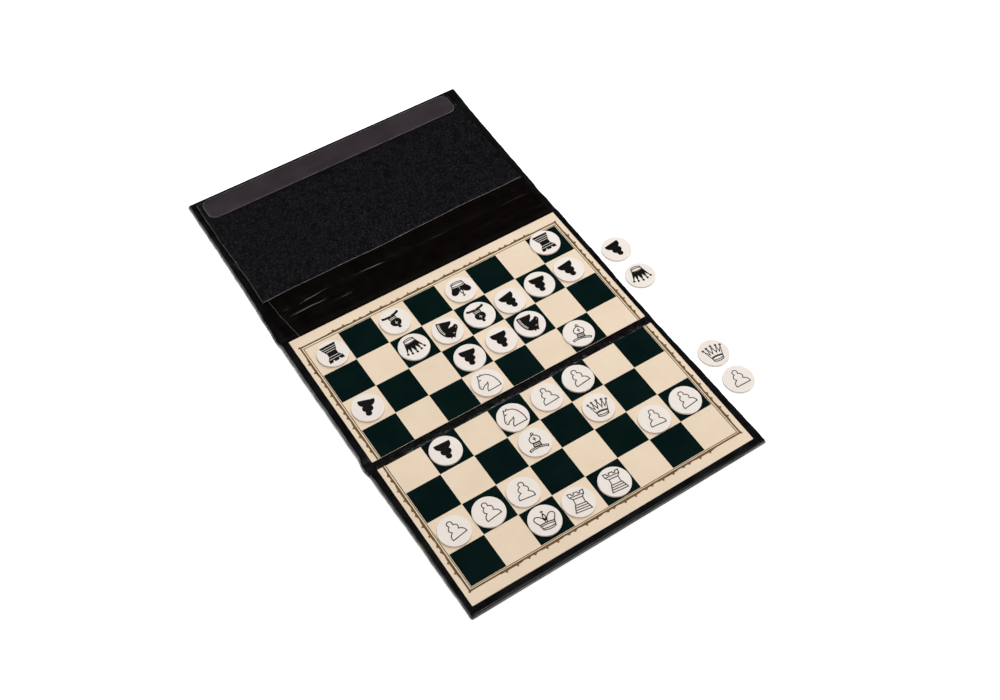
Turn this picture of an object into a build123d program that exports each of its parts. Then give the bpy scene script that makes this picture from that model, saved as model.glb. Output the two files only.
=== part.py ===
"""Fold-up magnetic travel chess wallet, open on a table, with flat disc men. Units are millimetres.

X runs along the files from a to h, Y from White to Black, Z up. The origin is the middle of the middle
panel's underside. Lengths along Y are first measured from the centre of the fold between the board halves.
"""

import os
from math import hypot

from build123d import *

os.makedirs("parts", exist_ok=True)

# Board
square = 19.05
rank_gap = 3.26  # from the fourth rank's line to the fifth's, across the fold
fold_gap = 4.9  # between the printed halves' edges
border_x = 4.8  # from the outer file lines to the sheet's sides
border_y = 8.32  # from the outer rank lines to the sheet's ends
ink_depth = 0.1
ink_gap = 0.05

# Panels and spines
rim_side = 3.9
rim_lower_end = 4.45
rim_middle_end = 5.95
rim_rise = 0.1  # the rim stands this much over the printed sheet
rim_round = 0.6
panel_corner = 2.0
cover_t = 0.5
core_t = 0.9
steel_t = 0.3
print_t = 0.3
liner_t = 0.4
lip_t = 0.5  # cover turned up at the fold
core_clear = 0.2  # round the stiffeners and steel sheets
top_spine_w = 12.4

# Cover flap, its pocket and its closing magnet
flap_inset = 0.2  # narrower than the board panels on each side
flap_over = 1.95  # longer than the middle panel
flap_hem = 3.0  # liner welded to the cover round the stiffener
flap_setback = 0.15  # liner kept back from the bend, which closes a little past a right angle
pocket_side = 4.6
pocket_mouth = 11.05  # from the flap's spine edge to the pocket's open edge
pocket_end = 2.6
pocket_slot = 0.6
pocket_t = 0.5
weld_w = 2.5
magnet_side = 7.0
magnet_end = 3.4
magnet_w = 14.4
magnet_t = 1.2
magnet_corner = 4.6

# Men
disc_fill = 0.861  # disc diameter over square
disc_t = 0.9
disc_round = 0.12
symbol_rise = 0.05
line_w = 0.48  # drawn lines of the symbols
cut_w = 0.32  # light lines in the solid symbols
white_shift = (0.45, 0.1)  # the symbols are printed a little off the discs' middles
black_shift = (0.15, -0.4)

# Worked out from the sizes above
disc_d = disc_fill * square
symbol_scale = disc_d / 16.4
print_w = 8 * square + 2 * border_x
print_near = fold_gap / 2
print_far = rank_gap / 2 + 4 * square + border_y
panel_w = print_w + 2 * rim_side
middle_far = print_far + rim_middle_end
lower_far = print_far + rim_lower_end
middle_centre = (print_near + middle_far) / 2
core_z = cover_t + core_t
steel_z = core_z + steel_t
board_z = steel_z + print_t
rim_z = board_z + rim_rise
spine_z = cover_t + liner_t
flap_near = middle_far + top_spine_w
flap_far = flap_near + middle_far - print_near + flap_over
flap_w = panel_w - 2 * flap_inset
flap_z = core_z + liner_t
pocket_near = flap_near + pocket_mouth
pocket_far = flap_far - pocket_end
pocket_w = flap_w - 2 * pocket_side
slot_z = flap_z + pocket_slot
pocket_z = slot_z + pocket_t


def save(name, shape):
    """Write one node, moved from the fold's frame to the part's frame."""
    export_step(Pos(0, -middle_centre, 0) * shape, f"parts/{name}.step")


def slab(width, y0, y1, z0, z1, x=0):
    """Plain plate between two Y and two Z values, centred on x."""
    return Pos(x, (y0 + y1) / 2, (z0 + z1) / 2) * Box(width, abs(y1 - y0), z1 - z0)


def panel(width, y0, y1, z0, z1, round_end, top_round):
    """Plate with an outer end at y1, whose corners can be rounded, and soft upper edges except at y0."""
    face = Pos(0, (y0 + y1) / 2) * Rectangle(width, abs(y1 - y0))
    if round_end:
        ends = [v for v in face.vertices() if abs(v.Y - y1) < 0.01]
        face = fillet(ends, panel_corner)
    plate = extrude(Pos(0, 0, z0) * face, amount=z1 - z0)
    if top_round:
        upper = plate.faces().sort_by(Axis.Z)[-1].edges()
        soft = [e for e in upper if abs(e.center().Y - y0) > 0.01]
        plate = fillet(soft, top_round)
    return plate


# Board panels: cover, stiffener, steel, rim, printed sheet and its dark squares
def board_panel(name, half, side, far, round_end):
    """One board panel. side is 1 towards Black and -1 towards White."""
    near = side * print_near
    end = side * far
    sheet_end = side * print_far
    cover = panel(panel_w, near, end, 0, cover_t, round_end, 0)
    cover += slab(print_w, near, near + side * lip_t, cover_t, steel_z)
    save(f"{name}_cover", cover)

    inner_near = near + side * (lip_t + core_clear)
    inner_end = sheet_end - side * core_clear
    inner_w = print_w - 2 * core_clear
    save(f"{name}_stiffener", slab(inner_w, inner_near, inner_end, cover_t, core_z))
    save(f"{name}_steel", slab(inner_w, inner_near, inner_end, core_z, steel_z))

    rim = panel(panel_w, near, end, cover_t, rim_z, round_end, rim_round)
    rim -= slab(print_w, near - side, sheet_end, cover_t - 1, rim_z + 1)
    save(f"{name}_rim", rim)

    squares = []
    for column in range(8):
        for row in range(4):
            rank = 4 + row if side > 0 else 3 - row
            if (column + rank) % 2:
                continue
            y0 = side * max(rank_gap / 2 + row * square, print_near) + side * ink_gap
            y1 = side * (rank_gap / 2 + (row + 1) * square) - side * ink_gap
            x = (column - 3.5) * square
            squares.append(slab(square - 2 * ink_gap, y0, y1, board_z - ink_depth, board_z, x))
    dark = Compound(squares)
    sheet = slab(print_w, near, sheet_end, steel_z, board_z)
    for one in squares:
        sheet -= one
    save(f"{half}_print", sheet)
    save(f"{half}_dark_squares", dark)


board_panel("middle", "upper", 1, middle_far, False)
board_panel("lower", "lower", -1, lower_far, True)

# Spines: an outer strip and an inner liner, bending along both edges
save("fold_spine_strip", slab(panel_w, -print_near, print_near, 0, cover_t))
save("fold_spine_liner", slab(panel_w, -print_near, print_near, cover_t, spine_z))
save("top_spine_strip", slab(panel_w, middle_far, flap_near, 0, cover_t))
save("top_spine_liner", slab(panel_w, middle_far, flap_near, cover_t, spine_z))

# Cover flap
save("flap_cover", panel(flap_w, flap_near, flap_far, 0, cover_t, True, 0))
flap_core = slab(flap_w - 2 * flap_hem, flap_near + flap_hem, flap_far - flap_hem, cover_t, core_z)
save("flap_stiffener", flap_core)
flap_liner = panel(flap_w, flap_near + flap_setback, flap_far, cover_t, flap_z, True, rim_round) - flap_core
save("flap_liner", flap_liner)

# Pocket, open towards the spine
weld_x = (pocket_w - weld_w) / 2
weld_near = pocket_far - weld_w
weld_left = slab(weld_w, pocket_near, pocket_far, flap_z, slot_z, -weld_x)
weld_right = slab(weld_w, pocket_near, pocket_far, flap_z, slot_z, weld_x)
weld_end = slab(pocket_w - 2 * weld_w, weld_near, pocket_far, flap_z, slot_z)
save("pocket_weld", Compound([weld_left, weld_right, weld_end]))
save("pocket_sheet", slab(pocket_w, pocket_near, pocket_far, slot_z, pocket_z))

# Closing magnet
magnet_y = flap_far - magnet_end - magnet_w / 2
magnet_face = Pos(0, magnet_y, pocket_z) * RectangleRounded(flap_w - 2 * magnet_side, magnet_w, magnet_corner)
magnet = extrude(magnet_face, amount=magnet_t)
magnet = fillet(magnet.faces().sort_by(Axis.Z)[-1].edges(), magnet_t / 4)
save("closing_magnet", magnet)


# Symbols: outlines are lists of points, and a third value of 1 marks a sharp corner
def mirrored(half):
    """Whole outline from its right half, which runs from the foot to the top."""
    left = [(-p[0], *p[1:]) for p in reversed(half) if p[0] > 0]
    return half + left


def turned_over(points):
    """The same outline on the other side of the symbol's middle line."""
    return [(-p[0], *p[1:]) for p in reversed(points)]


def area(points):
    """Signed area of an outline, positive when it runs anticlockwise."""
    pairs = zip(points, points[1:] + points[:1])
    return sum(a[0] * b[1] - b[0] * a[1] for a, b in pairs) / 2


def direction(a, b):
    """Unit vector from a to b."""
    length = hypot(b[0] - a[0], b[1] - a[1])
    return (b[0] - a[0]) / length, (b[1] - a[1]) / length


def shifted(points, distance):
    """Outline moved outwards by a distance, with mitred corners."""
    count = len(points)
    moved = []
    for k, p in enumerate(points):
        ux, uy = direction(points[k - 1], p)
        vx, vy = direction(p, points[(k + 1) % count])
        mx, my = uy + vy, -ux - vx
        corner = len(p) > 2
        spread = hypot(mx, my)
        reach = min(2 / spread, 4) if corner else 1
        moved.append((p[0] + distance * reach * mx / spread, p[1] + distance * reach * my / spread, *p[2:]))
    return moved


def outline_face(points):
    """Face inside an outline, with splines between its sharp corners."""
    corners = [k for k, p in enumerate(points) if len(p) > 2]
    count = len(points)
    if not corners:
        return make_face(Spline(*[p[:2] for p in points], periodic=True))
    runs = []
    for start, stop in zip(corners, corners[1:] + [corners[0] + count]):
        run = [points[k % count][:2] for k in range(start, stop + 1)]
        runs.append(Line(*run) if len(run) == 2 else Spline(*run))
    return make_face(runs)


def solid(points):
    """Outline filled with ink."""
    ring = points if area(points) > 0 else points[::-1]
    return outline_face(shifted(ring, line_w / 2))


def drawn(points):
    """Outline drawn as a line of ink."""
    ring = points if area(points) > 0 else points[::-1]
    return outline_face(shifted(ring, line_w / 2)) - outline_face(shifted(ring, -line_w / 2))


def stroke(points, width):
    """Open line of ink with square ends."""
    left = []
    right = []
    for k, p in enumerate(points):
        ux, uy = direction(points[max(k - 1, 0)], points[min(k + 1, len(points) - 1)])
        end = (1,) if k in (0, len(points) - 1) else ()
        left.append((p[0] - uy * width / 2, p[1] + ux * width / 2, *end))
        right.append((p[0] + uy * width / 2, p[1] - ux * width / 2, *end))
    return outline_face(right + left[::-1])


def ball(x, y, radius):
    """Round outline."""
    half = radius * 0.7071
    ring = [(radius, 0), (half, half), (0, radius), (-half, half), (-radius, 0), (-half, -half), (0, -radius)]
    return [(x + p[0], y + p[1]) for p in ring + [(half, -half)]]


# Each symbol has outlines that are solid for Black, outlines drawn for both and lines drawn for both.
# Cuts are lines that are ink for White and light for Black, and a mane is light lines for Black alone.
pawn_half = [(4.0, -3.85, 1), (4.0, -2.7), (3.5, -1.6), (2.6, -0.85), (1.8, -0.3, 1), (2.45, 0.45)]
pawn_half += [(2.5, 1.5), (1.85, 2.35), (0.95, 2.75, 1), (1.3, 3.5), (1.2, 4.5), (0, 5.15)]
pawn = {"filled": [mirrored(pawn_half)]}

rook_half = [(4.2, -5.2, 1), (2.9, -1.4, 1), (2.45, -1.4, 1), (2.45, 1.9, 1), (3.8, 3.4, 1)]
rook_half += [(4.05, 5.3, 1), (2.35, 5.15, 1), (2.15, 4.2, 1), (1.15, 4.2, 1), (1.0, 5.15, 1)]
rook_rows = [(2.45, -1.4), (2.45, 1.9), (3.7, 3.35), (3.3, -2.65), (3.75, -3.9)]
rook = {"filled": [mirrored(rook_half)], "cuts": [[(-x, y), (x, y)] for x, y in rook_rows]}

horse = [(-2.6, -4.8, 1), (4.8, -4.8, 1), (4.7, -1.8), (4.0, 1.1), (2.6, 3.4), (0.8, 4.6), (-0.4, 4.75, 1)]
horse += [(-0.8, 5.6, 1), (-1.6, 4.75, 1), (-2.6, 5.5, 1), (-3.1, 4.1, 1), (-3.8, 2.5), (-4.8, 0.6)]
horse += [(-5.4, -0.8), (-5.2, -1.8), (-4.4, -2.4, 1), (-3.6, -1.7), (-2.6, -1.1), (-1.4, -0.8)]
horse += [(-0.4, 0.0, 1), (-0.6, -1.2), (-1.6, -2.5), (-2.4, -3.7)]
knight = {
    "filled": [horse],
    "cuts": [
        [(-3.3, 2.4), (-2.8, 2.8), (-2.2, 2.7)],
        [(-4.8, -0.9), (-4.4, -0.5)],
    ],
    "mane": [
        [(4.15, -4.4), (4.05, -1.8), (3.35, 0.8), (2.1, 2.9)],
        [(3.5, -4.4), (3.4, -1.9), (2.8, 0.4), (1.7, 2.4)],
    ],
}

mitre = mirrored([(1.7, -0.45, 1), (2.7, 0.7), (2.55, 2.1), (1.4, 3.3), (0, 4.0, 1)])
curl = [(0.3, -2.75, 1), (1.7, -3.05), (3.2, -3.2), (4.95, -3.95, 1), (4.6, -4.75, 1), (3.1, -4.05)]
curl += [(1.5, -3.85), (0.3, -3.6, 1)]
bishop = {
    "filled": [mitre, ball(0, 4.6, 0.6), curl, turned_over(curl)],
    "drawn": [mirrored([(2.0, -2.5, 1), (1.75, -0.8, 1)])],
    "lines": [[(-1.8, -1.65), (1.8, -1.65)]],
    "cuts": [[(0, 0.5), (0, 2.7)], [(-0.85, 1.65), (0.85, 1.65)]],
}

crown_half = [(0, -2.2), (3.2, -2.7, 1), (4.85, 2.3, 1), (2.75, -0.75, 1), (2.65, 3.0, 1), (1.15, -0.65, 1)]
crown = mirrored(crown_half + [(0, 3.4, 1)])
queen_band = mirrored([(0, -5.65), (2.75, -4.95, 1), (3.05, -3.2, 1), (0, -2.75)])
queen = {
    "filled": [crown]
    + [ball(x, y, 0.42) for x, y in ((-5.0, 2.85), (-2.7, 3.55), (0, 4.0), (2.7, 3.55), (5.0, 2.85))],
    "drawn": [queen_band],
    "lines": [[(-2.85, -4.2), (0, -4.6), (2.85, -4.2)]],
}

lobe = [(0.35, -1.4, 1), (2.1, -1.5), (3.75, -1.8, 1), (4.9, 0.2), (5.3, 1.6), (4.6, 2.6), (3.2, 2.7)]
lobe += [(1.8, 1.8), (0.8, 0.3)]
king_band = mirrored([(0, -5.15), (3.2, -4.5, 1), (3.75, -1.9, 1), (0, -1.45)])
king = {
    "filled": [lobe, turned_over(lobe)],
    "drawn": [king_band, mirrored([(0, 0.0, 1), (0.7, 1.7), (0, 3.2, 1)])],
    "lines": [
        [(0, 3.2), (0, 5.2)],
        [(-0.8, 4.4), (0.8, 4.4)],
        [(-3.5, -2.75), (0, -2.35), (3.5, -2.75)],
        [(-3.3, -3.75), (0, -4.15), (3.3, -3.75)],
    ],
}
symbols = {"king": king, "queen": queen, "rook": rook, "bishop": bishop, "knight": knight, "pawn": pawn}


def make_man(symbol, black):
    """Disc with its printed symbol standing a little proud of the face."""
    parts = symbols[symbol]
    ink = Sketch()
    for points in parts["filled"]:
        ink += solid(points) if black else drawn(points)
    for points in parts.get("cuts", []):
        ink = ink - stroke(points, cut_w) if black else ink + stroke(points, line_w)
    if black:
        for points in parts.get("mane", []):
            ink -= stroke(points, cut_w)
    for points in parts.get("drawn", []):
        ink += drawn(points)
    for points in parts.get("lines", []):
        ink += stroke(points, line_w)
    shift = black_shift if black else white_shift
    ink = scale(Pos(*shift) * ink, symbol_scale)
    disc = Cylinder(disc_d / 2, disc_t, align=(Align.CENTER, Align.CENTER, Align.MIN))
    disc = fillet(disc.edges().sort_by(Axis.Z)[-1], disc_round)
    return disc + extrude(Pos(0, 0, disc_t - symbol_rise) * ink, amount=2 * symbol_rise)


# Where each man stands: files and ranks in squares from the a1 corner, then its own small turn in degrees
white_men = [
    ("king", 2.45, 0.51, -7),
    ("queen", 5.47, 2.48, -8),
    ("rook_1", 3.44, 0.48, -9),
    ("rook_2", 4.52, 0.47, -6),
    ("bishop_1", 3.50, 2.49, -8),
    ("bishop_2", 6.40, 4.52, -13),
    ("knight_1", 3.44, 3.41, 0),
    ("knight_2", 3.47, 4.50, 2),
    ("pawn_1", 0.44, 1.46, 9),
    ("pawn_2", 1.43, 1.44, 7),
    ("pawn_3", 2.45, 1.45, -8),
    ("pawn_4", 4.53, 3.46, 3),
    ("pawn_5", 5.54, 3.50, 6),
    ("pawn_6", 6.47, 1.42, -6),
    ("pawn_7", 7.49, 1.45, 6),
]
black_men = [
    ("king", 4.53, 7.46, -3),
    ("queen", 2.46, 6.50, 3),
    ("rook_1", 0.55, 7.47, 2),
    ("rook_2", 7.41, 7.60, 0),
    ("bishop_1", 2.48, 7.50, 7),
    ("bishop_2", 4.50, 6.46, 2),
    ("knight_1", 3.50, 6.47, -16),
    ("knight_2", 5.47, 5.48, -5),
    ("pawn_1", 0.47, 5.50, -18),
    ("pawn_2", 1.47, 3.50, -3),
    ("pawn_3", 3.52, 5.42, -9),
    ("pawn_4", 4.54, 5.45, -3),
    ("pawn_5", 5.46, 6.42, 11),
    ("pawn_6", 6.45, 6.46, -6),
    ("pawn_7", 7.43, 6.46, 7),
]
loose_white = [("pawn_8", 9.13, 1.27, -2), ("queen_spare", 9.10, 2.29, -6)]
loose_black = [("pawn_8", 9.02, 6.41, 7), ("queen_spare", 9.03, 5.29, -6)]


def stand(side, base_turn, men, z):
    """Place one side's men on the board or on the table."""
    for name, column, row, turn in men:
        symbol = name.split("_")[0]
        y = (row - 4) * square + (rank_gap / 2 if row > 4 else -rank_gap / 2)
        place = Pos((column - 4) * square, y, z) * Rot(0, 0, base_turn + turn)
        save(f"{side}_{name}", place * discs[side, symbol])


discs = {}
for symbol in symbols:
    discs["white", symbol] = make_man(symbol, False)
    discs["black", symbol] = make_man(symbol, True)

stand("white", 0, white_men, board_z)
stand("white", 0, loose_white, 0)
stand("black", 180, black_men, board_z)
stand("black", 180, loose_black, 0)
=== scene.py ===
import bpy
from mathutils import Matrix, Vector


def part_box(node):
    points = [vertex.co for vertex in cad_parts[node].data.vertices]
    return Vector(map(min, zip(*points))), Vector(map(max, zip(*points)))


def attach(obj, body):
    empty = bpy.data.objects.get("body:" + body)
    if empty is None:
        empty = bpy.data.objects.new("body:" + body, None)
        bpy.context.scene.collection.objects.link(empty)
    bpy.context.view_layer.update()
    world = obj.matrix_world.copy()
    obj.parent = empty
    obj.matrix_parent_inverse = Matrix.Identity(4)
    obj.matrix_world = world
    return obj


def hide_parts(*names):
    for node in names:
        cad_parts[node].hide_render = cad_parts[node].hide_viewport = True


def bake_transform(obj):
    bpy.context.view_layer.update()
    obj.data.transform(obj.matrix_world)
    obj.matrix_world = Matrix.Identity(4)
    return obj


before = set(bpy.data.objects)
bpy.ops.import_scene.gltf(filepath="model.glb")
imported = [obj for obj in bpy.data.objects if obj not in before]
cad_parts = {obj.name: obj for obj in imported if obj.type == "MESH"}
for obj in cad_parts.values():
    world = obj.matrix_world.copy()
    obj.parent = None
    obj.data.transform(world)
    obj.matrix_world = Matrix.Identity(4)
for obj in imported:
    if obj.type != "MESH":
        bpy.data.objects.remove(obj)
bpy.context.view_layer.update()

# %% [markdown]
# # A folding chess wallet
# The object is a travel chess set that folds like a cheque-book cover. Three stiff panels are wrapped in black
# vinyl, two of them carry the printed board, and flat magnetic discs stand for the men. The CAD frame gives every
# size, so this lesson measures its nodes and dresses them. It works in millimetres and turns to metres only
# when a mesh is made.

# %% Sizes taken from the frame
import math

import bmesh
import bpy
import numpy as np
from mathutils import Quaternion, Vector

mm = 0.001


def box_mm(node):
    """Lowest and highest corner of a CAD node, in millimetres."""
    low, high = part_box(node)
    return [round(v / mm, 3) for v in low], [round(v / mm, 3) for v in high]


middle_low, middle_high = box_mm("middle_cover")
lower_low, lower_high = box_mm("lower_cover")
flap_low, flap_high = box_mm("flap_cover")
upper_sheet_low, upper_sheet_high = box_mm("upper_print")
lower_sheet_low, lower_sheet_high = box_mm("lower_print")
pocket_low, pocket_high = box_mm("pocket_sheet")
cover_t = box_mm("fold_spine_strip")[1][2]
spine_top = box_mm("fold_spine_liner")[1][2]
rim_top = box_mm("middle_rim")[1][2]
flap_top = box_mm("flap_liner")[1][2]
lip_top = upper_sheet_low[2]
board_top = upper_sheet_high[2]
print("board", board_top, "rim", rim_top, "spine", spine_top, "flap", flap_top, "mm above the table")

# %% [markdown]
# ## Finishes
# Each finish is a small node tree on a Principled shader. Effects that several finishes share are node groups,
# built once here: the pebbles of embossed vinyl, the soft blotches of print and plastic, and the thin marks that
# handling leaves. All of them read Object coordinates, which are metres in the frame, so a scale of 1000 means one
# cell for each millimetre.


# %% Node helpers
def node(tree, kind, **settings):
    """Adds a node and sets its plain properties."""
    made = tree.nodes.new(kind)
    for key, value in settings.items():
        setattr(made, key, value)
    return made


def wire(tree, *pairs):
    """Links pairs of output and input sockets."""
    for out, into in pairs:
        tree.links.new(out, into)


def remap(tree, value, low, high, to_low, to_high):
    """Map Range from one span to another, clamped."""
    made = node(tree, "ShaderNodeMapRange", clamp=True)
    for key, number in zip(("From Min", "From Max", "To Min", "To Max"), (low, high, to_low, to_high)):
        made.inputs[key].default_value = number
    wire(tree, (value, made.inputs["Value"]))
    return made.outputs["Result"]


def mixed(tree, share, first, second):
    """Colour mix. first and second are colours or sockets."""
    made = node(tree, "ShaderNodeMix", data_type="RGBA")
    wire(tree, (share, made.inputs[0]))
    for index, colour in ((6, first), (7, second)):
        if isinstance(colour, bpy.types.NodeSocket):
            wire(tree, (colour, made.inputs[index]))
        else:
            made.inputs[index].default_value = (*colour, 1)
    return made.outputs[2]


def maths(tree, operation, *terms):
    """Math node. Its terms are numbers or sockets."""
    made = node(tree, "ShaderNodeMath", operation=operation)
    for socket, term in zip(made.inputs, terms):
        if isinstance(term, bpy.types.NodeSocket):
            wire(tree, (term, socket))
        else:
            socket.default_value = term
    return made.outputs[0]


def new_group(name, inputs, outputs):
    """Empty shader group with a Vector input, number inputs and number outputs."""
    group = bpy.data.node_groups.new(name, "ShaderNodeTree")
    group.interface.new_socket("Vector", in_out="INPUT", socket_type="NodeSocketVector")
    for label, value in inputs.items():
        group.interface.new_socket(label, in_out="INPUT", socket_type="NodeSocketFloat").default_value = value
    for label in outputs:
        group.interface.new_socket(label, in_out="OUTPUT", socket_type="NodeSocketFloat")
    return group, group.nodes.new("NodeGroupInput").outputs, group.nodes.new("NodeGroupOutput").inputs


print("node helpers ready")

# %% [markdown]
# ### Pebble grain
# Embossed vinyl has rounded pebbles with narrow creases between them. A Voronoi texture's distance to the cell's
# edge is zero in the crease and grows towards the middle, and a little noise on the coordinates keeps the cells
# from looking like a mosaic.


# %% Pebble grain group
def pebble_cells(tree, place, per_metre, wobble):
    """Distance to the creases between wobbling cells, in a shader group or a geometry tree."""
    scaled = node(tree, "ShaderNodeVectorMath", operation="SCALE")
    drift = node(tree, "ShaderNodeTexNoise")
    drift.inputs["Scale"].default_value = 0.9
    centred = node(tree, "ShaderNodeVectorMath", operation="SUBTRACT")
    centred.inputs[1].default_value = (0.5, 0.5, 0.5)
    pushed = node(tree, "ShaderNodeVectorMath", operation="SCALE")
    moved = node(tree, "ShaderNodeVectorMath", operation="ADD")
    cells = node(tree, "ShaderNodeTexVoronoi", feature="DISTANCE_TO_EDGE")
    cells.inputs["Scale"].default_value = 1.0
    wire(tree, (place, scaled.inputs[0]), (per_metre, scaled.inputs["Scale"]))
    wire(tree, (scaled.outputs[0], drift.inputs["Vector"]), (drift.outputs["Color"], centred.inputs[0]))
    wire(tree, (centred.outputs[0], pushed.inputs[0]), (wobble, pushed.inputs["Scale"]))
    wire(tree, (scaled.outputs[0], moved.inputs[0]), (pushed.outputs[0], moved.inputs[1]))
    wire(tree, (moved.outputs[0], cells.inputs["Vector"]))
    return cells.outputs["Distance"]


pebble_top = 0.42
pebbles, gin, gout = new_group("pebble_grain", {"Per metre": 800, "Wobble": 0.5}, ["Height", "Crest"])
crease = pebble_cells(pebbles, gin["Vector"], gin["Per metre"], gin["Wobble"])
rounded = node(pebbles, "ShaderNodeMapRange", interpolation_type="SMOOTHSTEP")
rounded.inputs["From Max"].default_value = pebble_top
wire(pebbles, (crease, rounded.inputs["Value"]), (rounded.outputs[0], gout["Height"]))
wire(pebbles, (remap(pebbles, crease, 0.25, 0.6, 0, 1), gout["Crest"]))
print("group:", pebbles.name)

# %% [markdown]
# ### Blotches and handling marks
# Print, plastic and rubber are never quite even. One group gives slow blotches and fine specks. The other gives
# thin marks along one direction, by stretching a noise and keeping only its highest values.

# %% Blotch and mark groups
blotches, gin, gout = new_group("blotches", {"Per metre": 60}, ["Blotch", "Speck"])
scaled = node(blotches, "ShaderNodeVectorMath", operation="SCALE")
slow = node(blotches, "ShaderNodeTexNoise")
slow.inputs["Scale"].default_value = 1.0
slow.inputs["Detail"].default_value = 3.0
fine = node(blotches, "ShaderNodeTexNoise")
fine.inputs["Scale"].default_value = 24.0
fine.inputs["Detail"].default_value = 1.0
wire(blotches, (gin["Vector"], scaled.inputs[0]), (gin["Per metre"], scaled.inputs["Scale"]))
wire(blotches, (scaled.outputs[0], slow.inputs["Vector"]), (scaled.outputs[0], fine.inputs["Vector"]))
wire(blotches, (remap(blotches, slow.outputs[0], 0.3, 0.7, 0, 1), gout["Blotch"]))
wire(blotches, (remap(blotches, fine.outputs[0], 0.35, 0.7, 0, 1), gout["Speck"]))

marks, gin, gout = new_group("handling_marks", {"Per metre": 100, "Stretch": 12}, ["Mark"])
scaled = node(marks, "ShaderNodeVectorMath", operation="SCALE")
split = node(marks, "ShaderNodeSeparateXYZ")
joined = node(marks, "ShaderNodeCombineXYZ")
streak = node(marks, "ShaderNodeTexNoise")
streak.inputs["Scale"].default_value = 1.0
streak.inputs["Detail"].default_value = 4.0
wire(marks, (gin["Vector"], scaled.inputs[0]), (gin["Per metre"], scaled.inputs["Scale"]))
wire(marks, (scaled.outputs[0], split.inputs[0]))
wire(marks, (maths(marks, "DIVIDE", split.outputs[0], gin["Stretch"]), joined.inputs[0]))
wire(marks, (split.outputs[1], joined.inputs[1]), (split.outputs[2], joined.inputs[2]))
wire(marks, (joined.outputs[0], streak.inputs["Vector"]))
wire(marks, (remap(marks, streak.outputs[0], 0.56, 0.74, 0, 1), gout["Mark"]))
print("groups:", blotches.name, marks.name)


# %% One function to start a finish
def finish_of(name, roughness=0.5, specular=0.5):
    """New material. Gives the material, its tree, its shader and the Object coordinates."""
    material = bpy.data.materials.new(name)
    material.use_nodes = True
    tree = material.node_tree
    shader = tree.nodes["Principled BSDF"]
    shader.inputs["Roughness"].default_value = roughness
    shader.inputs["Specular IOR Level"].default_value = specular
    return material, tree, shader, node(tree, "ShaderNodeTexCoord").outputs["Object"]


def effect(tree, group, place, **values):
    """Places a shared group. The values' names have _ for spaces."""
    made = node(tree, "ShaderNodeGroup", node_tree=group)
    wire(tree, (place, made.inputs["Vector"]))
    for label, value in values.items():
        made.inputs[label.replace("_", " ")].default_value = value
    return made.outputs


def paint(tree, shader, colour, rough=None):
    """Wires a colour, and a roughness where it varies, to the shader."""
    wire(tree, (colour, shader.inputs["Base Color"]))
    if rough is not None:
        wire(tree, (rough, shader.inputs["Roughness"]))


def raise_bump(tree, shader, height, strength, distance):
    """Bump from a height socket, in metres."""
    bump = node(tree, "ShaderNodeBump")
    bump.inputs["Strength"].default_value = strength
    bump.inputs["Distance"].default_value = distance
    wire(tree, (height, bump.inputs["Height"]), (bump.outputs["Normal"], shader.inputs["Normal"]))


print("finish helpers ready")

# %% [markdown]
# ### Four blacks of vinyl
# The outside has a small satin grain. The lining of the wide spine is smooth and deep black. The pocket is embossed
# with larger pebbles, whose tops are painted lighter and whose creases are painted darker, as painted highlight and
# painted shade, and the narrow spine is creased from folding. All of them are glossy, so they look black wherever
# they don't mirror a lamp. The cut edges of the sheets are grey, because the cut is rough and shows the sheet's
# filler; the same grey is also painted on the magnet's upper rim and on a strip along the pocket's mouth, as a
# painted highlight. The narrow top of the weld that runs round the wallet's edge is painted pale in blotches, as a
# painted highlight along its ridge.

# %% Vinyl finishes
vinyl, tree, shader, place = finish_of("black_vinyl", specular=0.42)
grain = effect(tree, pebbles, place, Per_metre=1150, Wobble=0.7)
patch = effect(tree, blotches, place, Per_metre=130)
tint = mixed(tree, patch["Blotch"], (0.0022, 0.0021, 0.0025), (0.0055, 0.0053, 0.0060))
paint(tree, shader, tint, remap(tree, patch["Blotch"], 0, 1, 0.14, 0.26))
raise_bump(tree, shader, grain["Height"], 0.3, 0.00005)

lining, tree, shader, place = finish_of("smooth_lining", specular=0.5)
patch = effect(tree, blotches, place, Per_metre=160)
streaks = effect(tree, marks, place, Per_metre=420, Stretch=9)
tint = mixed(tree, patch["Blotch"], (0.0016, 0.0009, 0.0009), (0.0034, 0.0019, 0.0018))
paint(tree, shader, tint, remap(tree, patch["Blotch"], 0, 1, 0.13, 0.22))
raise_bump(tree, shader, streaks["Mark"], 0.35, 0.00007)

pocket_grain, pocket_wobble = 520, 1.0
pebbled, tree, shader, place = finish_of("pebbled_vinyl", specular=0.35)
grain = effect(tree, pebbles, place, Per_metre=pocket_grain, Wobble=pocket_wobble)
patch = effect(tree, blotches, place, Per_metre=240)
# Painted shade and highlight: creases between pebbles are painted darker, the pebbles' tops lighter.
painted_shade_valley = mixed(tree, patch["Blotch"], (0.0009, 0.0008, 0.0011), (0.0017, 0.0015, 0.0020))
tint = mixed(tree, grain["Height"], painted_shade_valley, (0.0128, 0.0114, 0.0150))
paint(tree, shader, tint, remap(tree, grain["Crest"], 0, 1, 0.34, 0.22))
raise_bump(tree, shader, grain["Height"], 0.5, 0.00014)

creased, tree, shader, place = finish_of("creased_vinyl", specular=0.75)
patch = effect(tree, blotches, place, Per_metre=420)
grain = effect(tree, pebbles, place, Per_metre=620, Wobble=1.2)
tint = mixed(tree, patch["Blotch"], (0.0020, 0.0019, 0.0023), (0.0050, 0.0048, 0.0056))
paint(tree, shader, tint, remap(tree, patch["Blotch"], 0, 1, 0.16, 0.32))
raise_bump(tree, shader, grain["Height"], 0.3, 0.00012)

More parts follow.
